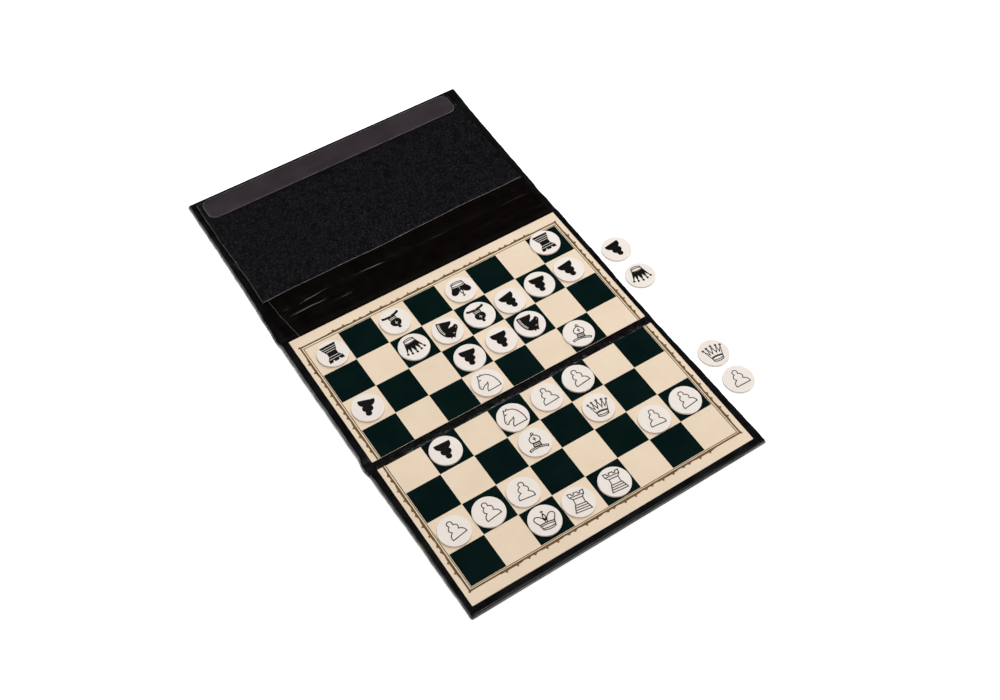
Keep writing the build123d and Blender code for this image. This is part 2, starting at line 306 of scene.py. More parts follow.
# The same grey is also painted on the magnet's upper rim and along the pocket's mouth, as a painted highlight.
cut_edge_and_highlight, tree, shader, place = finish_of("cut_vinyl_edge_and_highlight", roughness=0.5)
patch = effect(tree, blotches, place, Per_metre=300)
paint(tree, shader, mixed(tree, patch["Blotch"], (0.06, 0.06, 0.062), (0.16, 0.16, 0.16)))
raise_bump(tree, shader, patch["Speck"], 0.3, 0.00005)

# Painted highlight: pale grey blotches on the weld's narrow top stand in for light mirrored by its glossy ridge.
painted_weld_line, tree, shader, place = finish_of("trimmed_weld_painted_highlight", specular=0.6)
patch = effect(tree, blotches, place, Per_metre=70)
tint = mixed(tree, patch["Blotch"], (0.07, 0.07, 0.073), (0.58, 0.58, 0.59))
paint(tree, shader, tint, remap(tree, patch["Speck"], 0, 1, 0.25, 0.4))
print("vinyl:", vinyl.name, lining.name, pebbled.name, creased.name, cut_edge_and_highlight.name, painted_weld_line.name)

# %% [markdown]
# ### Print and men
# The board is a satin print on a pale cream sheet, with very dark green squares and a brown-gold border. The discs
# have an off-white face. Their symbols stand 0.05 mm proud of the face in the CAD, so the material can tell ink from
# face by height alone: no second mesh and no picture is needed.

# %% Print finishes
cream, tree, shader, place = finish_of("cream_print", specular=0.3)
patch = effect(tree, blotches, place, Per_metre=45)
tint = mixed(tree, patch["Blotch"], (0.775, 0.625, 0.470), (0.825, 0.680, 0.520))
tint = mixed(tree, remap(tree, patch["Speck"], 0, 1, 0, 0.22), tint, (0.72, 0.56, 0.41))
paint(tree, shader, tint, remap(tree, patch["Blotch"], 0, 1, 0.46, 0.58))
raise_bump(tree, shader, patch["Speck"], 0.08, 0.00004)

dark_green, tree, shader, place = finish_of("dark_print", specular=0.1)
patch = effect(tree, blotches, place, Per_metre=70)
rubbed = effect(tree, marks, place, Per_metre=160, Stretch=6)
tint = mixed(tree, patch["Blotch"], (0.0008, 0.0066, 0.0060), (0.0014, 0.0086, 0.0082))
tint = mixed(tree, remap(tree, rubbed["Mark"], 0, 1, 0, 0.35), tint, (0.003, 0.012, 0.011))
paint(tree, shader, tint, remap(tree, patch["Blotch"], 0, 1, 0.2, 0.28))
raise_bump(tree, shader, patch["Speck"], 0.08, 0.00004)

gold_ink, tree, shader, place = finish_of("brown_gold_ink", specular=0.35)
patch = effect(tree, blotches, place, Per_metre=500)
tint = mixed(tree, patch["Blotch"], (0.098, 0.050, 0.014), (0.185, 0.100, 0.030))
paint(tree, shader, tint, remap(tree, patch["Speck"], 0, 1, 0.4, 0.55))
print("print:", cream.name, dark_green.name, gold_ink.name)

# %% Finish of the men
symbol_t = 0.00005
disc_top = box_mm("white_king")[1][2] * mm - symbol_t
loose_top = box_mm("white_pawn_8")[1][2] * mm - symbol_t
disc_face, tree, shader, place = finish_of("man_face", specular=0.3)
patch = effect(tree, blotches, place, Per_metre=120)
split = node(tree, "ShaderNodeSeparateXYZ")
wire(tree, (place, split.inputs[0]))
height = split.outputs[2]
on_board = maths(tree, "GREATER_THAN", height, disc_top + 0.4 * symbol_t)
on_table = maths(tree, "COMPARE", height, loose_top + symbol_t, 0.6 * symbol_t)
ink = maths(tree, "MAXIMUM", on_board, on_table)
white = mixed(tree, patch["Blotch"], (0.815, 0.740, 0.687), (0.845, 0.778, 0.730))
white = mixed(tree, remap(tree, patch["Speck"], 0, 1, 0, 0.15), white, (0.72, 0.64, 0.575))
black = mixed(tree, patch["Speck"], (0.0012, 0.0011, 0.0010), (0.0042, 0.0037, 0.0034))
paint(tree, shader, mixed(tree, ink, white, black), remap(tree, patch["Blotch"], 0, 1, 0.42, 0.56))
raise_bump(tree, shader, patch["Speck"], 0.06, 0.00004)
print("men: ink above", round(disc_top / mm, 3), "mm on the board and", round(loose_top / mm, 3), "mm on the table")

# %% [markdown]
# ### Magnet strip, stiffener and steel
# The closing strip is rubber filled with magnet powder: dull, brown-grey and faintly speckled. The greyboard and
# the steel sheet are inside the panels, and get honest finishes too, for a part that is taken apart.

# %% Magnet, greyboard and steel finishes
magnet, tree, shader, place = finish_of("magnet_rubber", specular=0.4)
patch = effect(tree, blotches, place, Per_metre=110)
rubbed = effect(tree, marks, place, Per_metre=260, Stretch=14)
tint = mixed(tree, patch["Blotch"], (0.0195, 0.0122, 0.0170), (0.0262, 0.0176, 0.0234))
tint = mixed(tree, remap(tree, rubbed["Mark"], 0, 1, 0, 0.2), tint, (0.055, 0.044, 0.050))
paint(tree, shader, tint, remap(tree, patch["Blotch"], 0, 1, 0.46, 0.6))
raise_bump(tree, shader, patch["Speck"], 0.12, 0.00004)

greyboard, tree, shader, place = finish_of("grey_board", specular=0.2)
patch = effect(tree, blotches, place, Per_metre=220)
fibres = effect(tree, marks, place, Per_metre=900, Stretch=5)
tint = mixed(tree, patch["Blotch"], (0.30, 0.285, 0.26), (0.40, 0.38, 0.35))
tint = mixed(tree, fibres["Mark"], tint, (0.22, 0.20, 0.18))
paint(tree, shader, tint, remap(tree, patch["Speck"], 0, 1, 0.8, 0.95))
raise_bump(tree, shader, fibres["Mark"], 0.3, 0.00005)

steel, tree, shader, place = finish_of("rolled_steel")
shader.inputs["Metallic"].default_value = 1.0
patch = effect(tree, blotches, place, Per_metre=50)
rolled = effect(tree, marks, place, Per_metre=1500, Stretch=60)
tint = mixed(tree, patch["Blotch"], (0.46, 0.47, 0.49), (0.56, 0.57, 0.59))
paint(tree, shader, tint, remap(tree, rolled["Mark"], 0, 1, 0.3, 0.45))
raise_bump(tree, shader, rolled["Mark"], 0.1, 0.00002)
print("inside:", magnet.name, greyboard.name, steel.name)

# %% [markdown]
# ## Rigid nodes keep their CAD shape
# Printed sheets, discs, stiffeners, steel and the pocket's weld strips have the right shape already. They only take a
# finish.


# %% Finish the rigid nodes
def dress(names, material):
    """Gives CAD nodes a finish."""
    for name in names:
        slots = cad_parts[name].material_slots
        if not slots:
            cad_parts[name].data.materials.append(material)
        for slot in slots:
            slot.material = material


men = [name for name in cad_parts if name.startswith(("white_", "black_"))]
dress(men, disc_face)
dress(["upper_print", "lower_print"], cream)
dress(["upper_dark_squares", "lower_dark_squares"], dark_green)
dress(["middle_stiffener", "lower_stiffener", "flap_stiffener"], greyboard)
dress(["middle_steel", "lower_steel"], steel)
dress(["pocket_weld"], pebbled)
print("dressed", len(men), "men and the other rigid nodes")

# %% [markdown]
# ## Vinyl that was folded by hand
# A straight, even edge would look like moulded plastic. Real vinyl is turned round a board by hand, so its edge
# wanders by a tenth of a millimetre, swells beside the folds, and slopes softly where a panel ends. The panels of
# the real one also lie a little askew of each other, which two lines of measured half-widths repeat. These functions
# describe the wallet's outer edge and the height of its hem all along Y. Every vinyl piece reads the same
# functions, so neighbours meet without a step.


# %% Wandering edges
def smooth(t):
    """Soft step from 0 to 1."""
    t = np.clip(t, 0, 1)
    return t * t * (3 - 2 * t)


def ripple(t, seed, waves):
    """Wandering line: sines of given lengths and heights, with phases from a fixed seed."""
    phases = np.random.default_rng(seed).uniform(0, 2 * np.pi, len(waves))
    return sum(h * np.sin(2 * np.pi * np.asarray(t) / w + p) for (w, h), p in zip(waves, phases))


fold_y = (middle_low[1] + lower_high[1]) / 2
half_fold = (middle_low[1] - lower_high[1]) / 2
wide_y = (middle_high[1] + flap_low[1]) / 2
left_swells = [(fold_y + 1.6, 0.95, 4.2), (middle_high[1] - 1.5, 0.45, 3.6)]
right_swells = [(fold_y + 1.0, 0.3, 3.8), (wide_y, 0.2, 5.0)]
left_line = [(-140, 84.4), (-95, 84.95), (-75, 85.3), (-55, 85.8), (-25, 85.75), (0, 85.9), (42, 85.85), (57, 85.65)]
left_line += [(75, 84.95), (95, 84.4), (125, 83.95), (150, 83.55)]
right_line = [(-140, 86.1), (-115, 85.55), (-95, 85.35), (-75, 84.8), (-50, 84.3), (-25, 84.25), (0, 84.7), (45, 84.75)]
right_line += [(57, 84.6), (65, 84.8), (85, 85.05), (105, 85.45), (125, 85.65), (150, 86.9)]


def edge(y, side):
    """X of the outer edge. side is -1 on the left and 1 on the right."""
    half = np.interp(y, *zip(*(left_line if side < 0 else right_line)))
    swells = left_swells if side < 0 else right_swells
    swell = sum(a * np.exp(-(((y - c) / w) ** 2)) for c, a, w in swells)
    return side * (half + swell + ripple(y, 11 + side, [(41, 0.06), (15, 0.07), (6.3, 0.045), (3.1, 0.02)]))


def hem_height(y):
    """Height of the vinyl's top beside the print, on the spines and on the flap."""
    low = spine_top + 0.3
    by_fold = low + (rim_top - low) * smooth((abs(y - fold_y) - half_fold) / 5)
    if y < 0:
        return by_fold
    on_spine = spine_top + 0.08
    down = smooth((y - upper_sheet_high[1] + 1.0) / (middle_high[1] - upper_sheet_high[1] + 1.0))
    up = smooth((y - flap_low[1]) / 5)
    return rim_top + (on_spine - rim_top) * down + (flap_top - on_spine) * up


print("fold at", fold_y, "mm, wide spine at", wide_y, "mm")

# %% [markdown]
# ## One way to make every vinyl piece
# A panel or a spine is a cross-section that changes slowly along Y. So each piece is a row of cross-sections,
# joined into a closed skin: under the piece, round the outer edge, over the hem with its weld groove, across the
# middle, and down the other side. The edge has a narrow flange, where the two sheets were welded and trimmed. Where
# a printed sheet lies between the hems, the middle is simply lower. turned_edge gives distances from the outer edge
# and shares of the hem's height, and hem_shape gives shares of the hem's width and heights over its top.

# %% Cross-section of the wallet
turned_edge = [(1.6, 0.0), (0.4, 0.0), (0.15, 0.04), (0.03, 0.12), (0.0, 0.2), (0.02, 0.28), (0.07, 0.35)]
turned_edge += [(0.16, 0.395), (0.28, 0.415), (0.36, 0.44), (0.38, 0.54), (0.41, 0.66), (0.48, 0.77), (0.59, 0.86)]
turned_edge += [(0.75, 0.93), (0.95, 0.975), (1.15, 0.995), (1.35, 1.0)]
outermost, weld_highlight_steps = 4, (7, 8)
hem_shape = [(0.45, 0.03), (0.5, 0.0), (0.55, -0.07), (0.6, -0.01), (0.7, 0.01), (0.86, 0.01)]
hem_shape += [(0.95, -0.01), (0.99, -0.05)]
liner_step = [-0.5, -0.2, -0.07, 0.07, 0.2, 0.5]
liner_half, lean_left, lean_right = 74.4, -0.108, 0.02


def liner_edge(y, side):
    """X of the lining sheet's cut edge, which isn't quite straight."""
    lean = (y - upper_sheet_high[1]) * (lean_left if side < 0 else lean_right)
    return side * liner_half + lean + ripple(y, 31 + side, [(23, 0.12), (9, 0.05)])


def columns(y):
    """X values across the middle, with close ones beside the lining's edges."""
    left, right = liner_edge(y, -1), liner_edge(y, 1)
    inner = upper_sheet_high[0]
    outside = np.linspace(0.04, 1, 6)[:-1]
    steps = np.array(liner_step)
    return np.concatenate([
        -inner + outside * (left - 0.5 + inner), left + steps, np.linspace(left + 0.5, right - 0.5, 148)[1:-1],
        right + steps, inner - outside[::-1] * (inner - right - 0.5),
    ])


def cross_section(y, middle, narrow=0.0, share=1.0):
    """One closed loop of x and z. middle gives the height between the hems, and share lowers the whole loop."""
    h = hem_height(y)
    inner = upper_sheet_high[0]
    sides = []
    for side in (-1, 1):
        outer = edge(y, side) - side * narrow
        width = abs(outer) - inner
        lift = ripple(y, 51 + side, [(29, 0.035), (11, 0.03), (4.7, 0.02)])
        pts = [(outer - side * d, h * s) for d, s in turned_edge]
        pts += [(outer - side * f * width, h + dz + lift) for f, dz in hem_shape]
        sides.append(pts)
    xs = np.clip(columns(y), -inner + 0.02, inner - 0.02)
    zs = middle(xs, y)
    across = list(zip(xs, zs))
    walls = [(-inner, sides[0][-1][1]), (-inner, zs[0])], [(inner, zs[-1]), (inner, sides[1][-1][1])]
    under = [(x, 0.0) for x in np.linspace(edge(y, 1) - 2, edge(y, -1) + 2, 12)]
    loop = np.array(sides[0] + walls[0] + across + walls[1] + sides[1][::-1] + under)
    loop[:, 1] *= share
    return np.column_stack([loop[:, 0], np.full(len(loop), y), loop[:, 1]])


first_column = len(turned_edge) + len(hem_shape) + 2
last_column = first_column + len(columns(0.0)) - 1
cut_column = first_column + 7
right_edge = last_column + 2 + len(turned_edge) + len(hem_shape)
weld_highlight_columns = [*weld_highlight_steps, *(right_edge - 1 - k for k in weld_highlight_steps)]
print("points round one section:", len(cross_section(0.0, lambda xs, y: np.full(len(xs), cover_t))))


# %% Join sections into a closed skin
def added(name, data):
    """New object in the scene, with its data."""
    made = bpy.data.objects.new(name, data)
    bpy.context.scene.collection.objects.link(made)
    return made


def make_mesh(name, points, faces, materials, slots=None):
    """Mesh object from millimetre points, with outward normals and soft shading."""
    mesh = bpy.data.meshes.new(name)
    mesh.from_pydata((np.asarray(points) * mm).tolist(), [], faces)
    for material in materials:
        mesh.materials.append(material)
    if slots is not None:
        mesh.polygons.foreach_set("material_index", slots)
    shape = bmesh.new()
    shape.from_mesh(mesh)
    bmesh.ops.remove_doubles(shape, verts=shape.verts, dist=1e-7)
    bmesh.ops.dissolve_degenerate(shape, edges=shape.edges, dist=1e-7)
    bmesh.ops.recalc_face_normals(shape, faces=shape.faces)
    shape.to_mesh(mesh)
    shape.free()
    mesh.shade_smooth()
    mesh.set_sharp_from_angle(angle=math.radians(42))
    print(name, len(mesh.polygons), "faces")
    return added(name, mesh)


def skin(name, rows, lined=(), outside=vinyl, ended=False):
    """Closed skin through cross-sections. In lined rows the middle is lining, with its cut edge. ended says that
    the last rows are a panel's end, with the weld across it. The weld's narrow top is painted pale, a painted
    highlight."""
    rows = np.array(rows)
    count, around = rows.shape[:2]
    ring = np.arange(around)
    after = (ring + 1) % around
    weld_highlight_rows = [count - 2 - (k - outermost) for k in weld_highlight_steps] if ended else []
    faces, slots = [], []
    for i in range(count - 1):
        a, b = i * around, (i + 1) * around
        faces += np.column_stack([a + ring, a + after, b + after, b + ring]).tolist()
        inside = (ring >= first_column - 1) & (ring <= last_column) & (i in lined)
        slot = np.where(inside, np.where(ring == cut_column, 2, 1), 0)
        # Faces on the weld's narrow top take the painted highlight.
        welded = np.isin(ring, weld_highlight_columns) | ((ring <= right_edge) & (i in weld_highlight_rows))
        slots += np.where(welded, 3, slot).tolist()
    faces += [list(range(around)), list(range((count - 1) * around, count * around))]
    return make_mesh(name, rows.reshape(-1, 3), faces, [outside, lining, cut_edge_and_highlight, painted_weld_line], slots + [0, 0])


print("skin maker ready")

# %% [markdown]
# ## The lining across the wide spine
# Between the board and the pocket lies one smooth sheet. It runs down from the board's edge, across the spine and up
# to the flap. Folding has left creases along the spine, strongest near its two ends, and the sheet's own cut edge
# shows as a thin line on the left. All of that is a height over x and y. A crease is a place, a height and a width.

# %% Heights of the lining and of the narrow spine
creases = [(43.2, 0.12, 0.40), (46.8, 0.26, 0.42), (49.1, 0.18, 0.38), (51.1, 0.28, 0.42), (53.9, 0.26, 0.40)]
creases += [(56.2, 0.16, 0.38), (59.1, 0.20, 0.40), (62.4, 0.10, 0.40), (65.0, 0.08, 0.40)]
liner_rise = 0.16


def lining_height(xs, y):
    """Top of the lining sheet."""
    height = np.full(len(xs), hem_height(y))
    left, right = liner_edge(y, -1), liner_edge(y, 1)
    height += liner_rise * smooth((xs - left + 0.07) / 0.14) * smooth((right + 0.07 - xs) / 0.14)
    ends = 0.45 + 0.55 * np.exp(-(((xs + 66) / 30) ** 2)) + 0.4 * np.exp(-(((xs - 66) / 24) ** 2))
    for k, (place, tall, wide) in enumerate(creases):
        wander = place + ripple(xs, 70 + k, [(67, 0.5), (29, 0.28), (11, 0.12)])
        strength = 0.5 + 0.5 * np.sin(xs / 9.0 + 2.1 * k) * np.sin(xs / 23.0 + k)
        height += tall * ends * strength * np.exp(-(((y - wander) / wide) ** 2))
    return height + ripple(xs + 0.6 * y, 90, [(31, 0.03), (13, 0.02)]) * smooth((y - 40) / 4)


def narrow_spine_height(xs, y):
    """Top of the narrow spine: a soft roll between the two halves of the board."""
    t = (y - fold_y) / half_fold
    roll = 0.34 * (1 - t * t) * (1 + 0.35 * ripple(xs, 95, [(43, 0.6), (17, 0.5), (7, 0.35)]))
    puckers = ripple(xs + 2.2 * y, 96, [(6.1, 0.6), (3.3, 0.5)]) * ripple(xs - 1.3 * y, 97, [(9.7, 1.0)])
    return spine_top + roll + 0.07 * puckers * (1 - t * t)


def level(height):
    """A flat middle at one height."""
    return lambda xs, y: np.full(len(xs), height)


print("creases:", len(creases))

# %% [markdown]
# ## Panels
# Each panel is one skin: back, edges and hem. Near the fold the cover is turned up behind the printed sheet, and
# further on the middle is the bare cover under the stiffener. The lower panel ends in the same welded edge with
# small corners, and so does the flap. The lower panel's end also runs a little askew.


# %% Rounded end of a panel
corner = 0.7


def end_rows(far, towards, middle):
    """Last sections of a panel, lowered to the same edge as its sides, with small round corners."""
    rows = []
    for e, share in reversed(turned_edge[outermost:]):
        narrow = corner - math.sqrt(corner**2 - (corner - e) ** 2) if e < corner else 0.0
        rows.append(cross_section(far - towards * e, middle, narrow * 0.9, share))
    return rows


print("end rows:", len(turned_edge) - outermost)

# %% Middle panel's skin
near, sheet_end, far = middle_low[1], upper_sheet_high[1], middle_high[1]
rows = [cross_section(y, level(lip_top - 0.02)) for y in (near, near + 0.25, near + 0.5)]
rows += [cross_section(y, level(cover_t)) for y in np.linspace(near + 0.5, sheet_end, 58)]
lined = range(len(rows), len(rows) + 50)
rows += [cross_section(y, lining_height) for y in np.linspace(sheet_end, far, 51)]
middle_skin = skin("middle_skin", rows, lined)
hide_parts("middle_cover", "middle_rim")
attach(middle_skin, "middle_panel")

# %% Lower panel's skin
near, sheet_end, far = lower_high[1], lower_sheet_low[1], lower_low[1] + 0.2
rows = [cross_section(y, level(lip_top - 0.02)) for y in (near, near - 0.25, near - 0.5)]
rows += [cross_section(y, level(cover_t)) for y in np.linspace(near - 0.5, sheet_end, 58)]
rows += [cross_section(y, level(rim_top)) for y in np.linspace(sheet_end, far + 2.2, 5)]
rows += end_rows(far, -1, level(rim_top))
rows, askew = np.array(rows), 0.0072
rows[:, :, 1] += askew * rows[:, :, 0] * smooth((-100 - rows[:, :, 1]) / 30)
lower_skin = skin("lower_skin", rows, ended=True)
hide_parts("lower_cover", "lower_rim")
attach(lower_skin, "lower_panel")

# %% Cover flap's skin
near, far = flap_low[1], flap_high[1] + 0.5
rows = [cross_section(y, lining_height) for y in np.linspace(near, near + 13, 100)]
rows += [cross_section(y, level(flap_top)) for y in np.linspace(near + 14, far - 2.2, 50)]
rows += end_rows(far, 1, level(flap_top))
flap_skin = skin("flap_skin", rows, range(150), ended=True)
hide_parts("flap_cover", "flap_liner")
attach(flap_skin, "flap")

# %% [markdown]
# ## Spines in two halves
# A spine bends along both its edges, so each is made in two halves that meet in its middle.

# %% Narrow spine in two halves
rows = [cross_section(y, narrow_spine_height) for y in np.linspace(middle_low[1], fold_y, 14)]
fold_spine_upper = skin("fold_spine_upper", rows, outside=creased)
rows = [cross_section(y, narrow_spine_height) for y in np.linspace(fold_y, lower_high[1], 14)]
fold_spine_lower = skin("fold_spine_lower", rows, outside=creased)
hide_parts("fold_spine_strip")
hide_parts("fold_spine_liner")
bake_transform(fold_spine_upper)
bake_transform(fold_spine_lower)

# %% Wide spine in two halves
rows = [cross_section(y, lining_height) for y in np.linspace(middle_high[1], wide_y, 61)]
top_spine_board = skin("top_spine_board", rows, range(60))
rows = [cross_section(y, lining_height) for y in np.linspace(wide_y, flap_low[1], 61)]
top_spine_flap = skin("top_spine_flap", rows, range(60))
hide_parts("top_spine_strip")
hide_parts("top_spine_liner")
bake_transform(top_spine_board)
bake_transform(top_spine_flap)

# %% [markdown]
# ## The pocket
# The pocket is one embossed sheet, welded to the flap on three sides and open towards the spine. Its open edge runs
# a little askew, it sags by a hair between its welds, and its cut edge is paler than its face. A narrow strip of its
# top along the mouth and the left side is painted the same pale grey, as a painted highlight of the lit edge. The
# pebbles are real relief: a Geometry Nodes tree lifts a fine grid by the same pattern that the finish uses, so the
# two agree.


# %% Pebble tree
def new_tree(name, inputs):
    """Geometry tree with geometry in and out and named inputs."""
    made = bpy.data.node_groups.new(name, "GeometryNodeTree")
    made.interface.new_socket("Geometry", in_out="INPUT", socket_type="NodeSocketGeometry")
    for label, kind in inputs:
        made.interface.new_socket(label, in_out="INPUT", socket_type=kind)
    made.interface.new_socket("Geometry", in_out="OUTPUT", socket_type="NodeSocketGeometry")
    return made, node(made, "NodeGroupInput").outputs, node(made, "NodeGroupOutput").inputs


def end_tree(tree, geometry, material, out):
    """Last nodes of a tree: real geometry with a finish."""
    real = node(tree, "GeometryNodeRealizeInstances")
    faced = node(tree, "GeometryNodeSetMaterial")
    wire(tree, (geometry, real.inputs[0]), (real.outputs[0], faced.inputs["Geometry"]))
    wire(tree, (material, faced.inputs["Material"]), (faced.outputs[0], out["Geometry"]))


relief, gin, gout = new_tree("pebble_relief", [
    ("Per metre", "NodeSocketFloat"), ("Wobble", "NodeSocketFloat"),
    ("Relief", "NodeSocketFloat"), ("Face", "NodeSocketMaterial")])
point = node(relief, "GeometryNodeInputPosition").outputs[0]
crease = pebble_cells(relief, point, gin["Per metre"], gin["Wobble"])
embossed = node(relief, "GeometryNodeInputNamedAttribute", data_type="FLOAT")
embossed.inputs["Name"].default_value = "embossed"
tall = maths(relief, "MULTIPLY", remap(relief, crease, 0.02, pebble_top, 0, 1), gin["Relief"])
upwards = node(relief, "ShaderNodeCombineXYZ")
lifted = node(relief, "GeometryNodeSetPosition")
wire(relief, (maths(relief, "MULTIPLY", tall, embossed.outputs["Attribute"]), upwards.inputs[2]))
wire(relief, (gin["Geometry"], lifted.inputs["Geometry"]), (upwards.outputs[0], lifted.inputs["Offset"]))
end_tree(relief, lifted.outputs[0], gin["Face"], gout)
print("tree:", relief.name)


# %% Run a tree and keep a plain mesh
def grown(made, tree, values):
    """Plain mesh that a geometry tree makes from an object, which is removed."""
    modifier = made.modifiers.new("grow", "NODES")
    modifier.node_group = tree
    for item in tree.interface.items_tree:
        if item.in_out == "INPUT" and item.name in values:
            modifier[item.identifier] = values[item.name]
    evaluated = made.evaluated_get(bpy.context.evaluated_depsgraph_get())
    result = bpy.data.meshes.new_from_object(evaluated)
    bpy.data.objects.remove(made)
    return result


print("tree runner ready")

# %% Pocket sheet
wide, long = pocket_high[0] - pocket_low[0], pocket_high[1] - pocket_low[1]
pitch = 0.42
lip = np.array([0, 0.1, 0.24])
u = np.concatenate([lip, np.arange(0.6, wide - 0.6, pitch), wide - lip[::-1]]) / wide
v = np.concatenate([lip, np.arange(0.6, long - 0.6, pitch), long - lip[::-1]]) / long
a, b = np.meshgrid(u, v)
x = pocket_low[0] + wide * a
mouth = pocket_low[1] - 0.7 + 1.9 * a + ripple(x, 120, [(90, 0.25), (37, 0.12)])
y = mouth + (pocket_high[1] - mouth) * b
x = x + ripple(y, 121, [(55, 0.22), (21, 0.1)]) * (1 - 2 * a)
rim = np.minimum(np.minimum(a, 1 - a) * wide, np.minimum(b, 1 - b) * long)
sag = 0.14 * np.sin(np.pi * a) * (1 - b) ** 2
wave = ripple(x + 0.4 * y, 122, [(47, 0.05), (19, 0.03)]) * smooth(rim / 6)
z = pocket_high[2] - 0.05 - 0.1 * (1 - smooth(rim / 0.3)) - sag + wave
n, m = len(u), len(v)
top = np.stack([x, y, z], -1).reshape(-1, 3)
corner = np.arange(n * m).reshape(m, n)
faces = np.stack([corner[:-1, :-1], corner[:-1, 1:], corner[1:, 1:], corner[1:, :-1]], -1).reshape(-1, 4).tolist()
border = np.concatenate([corner[0, :-1], corner[:-1, -1], corner[-1, :0:-1], corner[:0:-1, 0]])
foot = top[border] * (1, 1, 0) + (0, 0, pocket_low[2])
below = np.arange(len(border)) + len(top)
sides = np.stack([border, below, np.roll(below, -1), np.roll(border, -1)], -1).tolist()
flat = bpy.data.meshes.new("pocket_blank")
flat.from_pydata((np.concatenate([top, foot]) * mm).tolist(), [], faces + sides + [below[::-1].tolist()])
mask = flat.attributes.new("embossed", "FLOAT", "POINT")
mask.data.foreach_set("value", np.concatenate([smooth((rim.ravel() - 0.2) / 1.0), np.zeros(len(foot))]))
values = {"Per metre": float(pocket_grain), "Wobble": pocket_wobble, "Relief": 0.16 * mm, "Face": pebbled}
embossed_sheet = grown(added("pocket_blank", flat), relief, values)
embossed_sheet.materials.append(cut_edge_and_highlight)
kinds = np.zeros(len(embossed_sheet.polygons), dtype=int)
kinds[len(faces):len(faces) + len(sides)] = 1
top_kinds = kinds[:len(faces)].reshape(m - 1, n - 1)
# Painted highlight: top faces along the mouth and the left side take the pale cut-edge grey.
top_kinds[:2, :] = 1
top_kinds[:, 0] = 1
embossed_sheet.polygons.foreach_set("material_index", kinds)
embossed_sheet.shade_smooth()
embossed_sheet.set_sharp_from_angle(angle=math.radians(50))
pocket_leaf = added("pocket_leaf", embossed_sheet)
print("pocket_leaf", len(embossed_sheet.polygons), "faces")
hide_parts("pocket_sheet")
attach(pocket_leaf, "flap")

# %% [markdown]
# ## The closing magnet
# The strip is stamped from magnet sheet, and its upper rim is painted pale grey, as a painted highlight where the
# rounded rim catches the light. Loops of points follow one rounded outline: the foot, the top of the side, the painted
# rim, and the flat face.


# %% Magnet strip
def rounded_loop(low, high, corner, inset, z):
    """Points round a rectangle with round corners, moved inwards by an inset."""
    centre_x, centre_y = (low[0] + high[0]) / 2, (low[1] + high[1]) / 2
    reach_x, reach_y = (high[0] - low[0]) / 2 - corner, (high[1] - low[1]) / 2 - corner
    loop = []
    for turn in range(4):
        sign_x, sign_y = ((1, 1), (-1, 1), (-1, -1), (1, -1))[turn]
        for angle in np.linspace(turn * math.pi / 2, (turn + 1) * math.pi / 2, 11):
            x = centre_x + sign_x * reach_x + (corner - inset) * math.cos(angle)
            loop.append((x, centre_y + sign_y * reach_y + (corner - inset) * math.sin(angle), z))
    return loop


magnet_low, magnet_high = box_mm("closing_magnet")
magnet_corner, highlight_step = 4.6, 2
steps = [(0.0, magnet_low[2]), (0.0, magnet_high[2] - 0.3), (0.12, magnet_high[2] - 0.08), (0.34, magnet_high[2])]
loops = [rounded_loop(magnet_low, magnet_high, magnet_corner, inset, z) for inset, z in steps]
around = len(loops[0])
ring = np.arange(around)
faces, slots = [], []
for k in range(len(loops) - 1):
    below, above = k * around, (k + 1) * around
    after = (ring + 1) % around
    faces += np.column_stack([below + ring, below + after, above + after, above + ring]).tolist()
    # The rounded rim takes the pale cut-edge grey, as a painted highlight.
    slots += [1 if k == highlight_step else 0] * around
faces += [ring[::-1].tolist(), (ring + (len(loops) - 1) * around).tolist()]
magnet_leaf = make_mesh("magnet_leaf", np.concatenate(loops), faces, [magnet, cut_edge_and_highlight], slots + [0, 0])
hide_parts("closing_magnet")
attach(magnet_leaf, "flap")

# %% [markdown]
# ## The printed border
# A thin line and a heavier ornamented line run round the squares. Both follow a path, so Geometry Nodes make them:
# one tree turns a path of edges into a flat ribbon of ink, and a second one sets a small bracket motif at even
# steps along a path and turns it to face outwards. The paths run clockwise, so the outside is always on the left.


# %% Ribbon tree
ribbon, gin, gout = new_tree("ink_ribbon", [
    ("Line width", "NodeSocketFloat"), ("Ink height", "NodeSocketFloat"), ("Ink", "NodeSocketMaterial")])
curve = node(ribbon, "GeometryNodeMeshToCurve")
upright = node(ribbon, "GeometryNodeSetCurveNormal", mode="Z_UP")
profile = node(ribbon, "GeometryNodeCurvePrimitiveQuadrilateral")
sweep = node(ribbon, "GeometryNodeCurveToMesh")
sweep.inputs["Fill Caps"].default_value = True
wire(ribbon, (gin["Geometry"], curve.inputs["Mesh"]), (curve.outputs[0], upright.inputs["Curve"]))
wire(ribbon, (upright.outputs[0], sweep.inputs["Curve"]), (profile.outputs[0], sweep.inputs["Profile Curve"]))
wire(ribbon, (gin["Line width"], profile.inputs["Width"]), (gin["Ink height"], profile.inputs["Height"]))
end_tree(ribbon, sweep.outputs[0], gin["Ink"], gout)
print("tree:", ribbon.name)

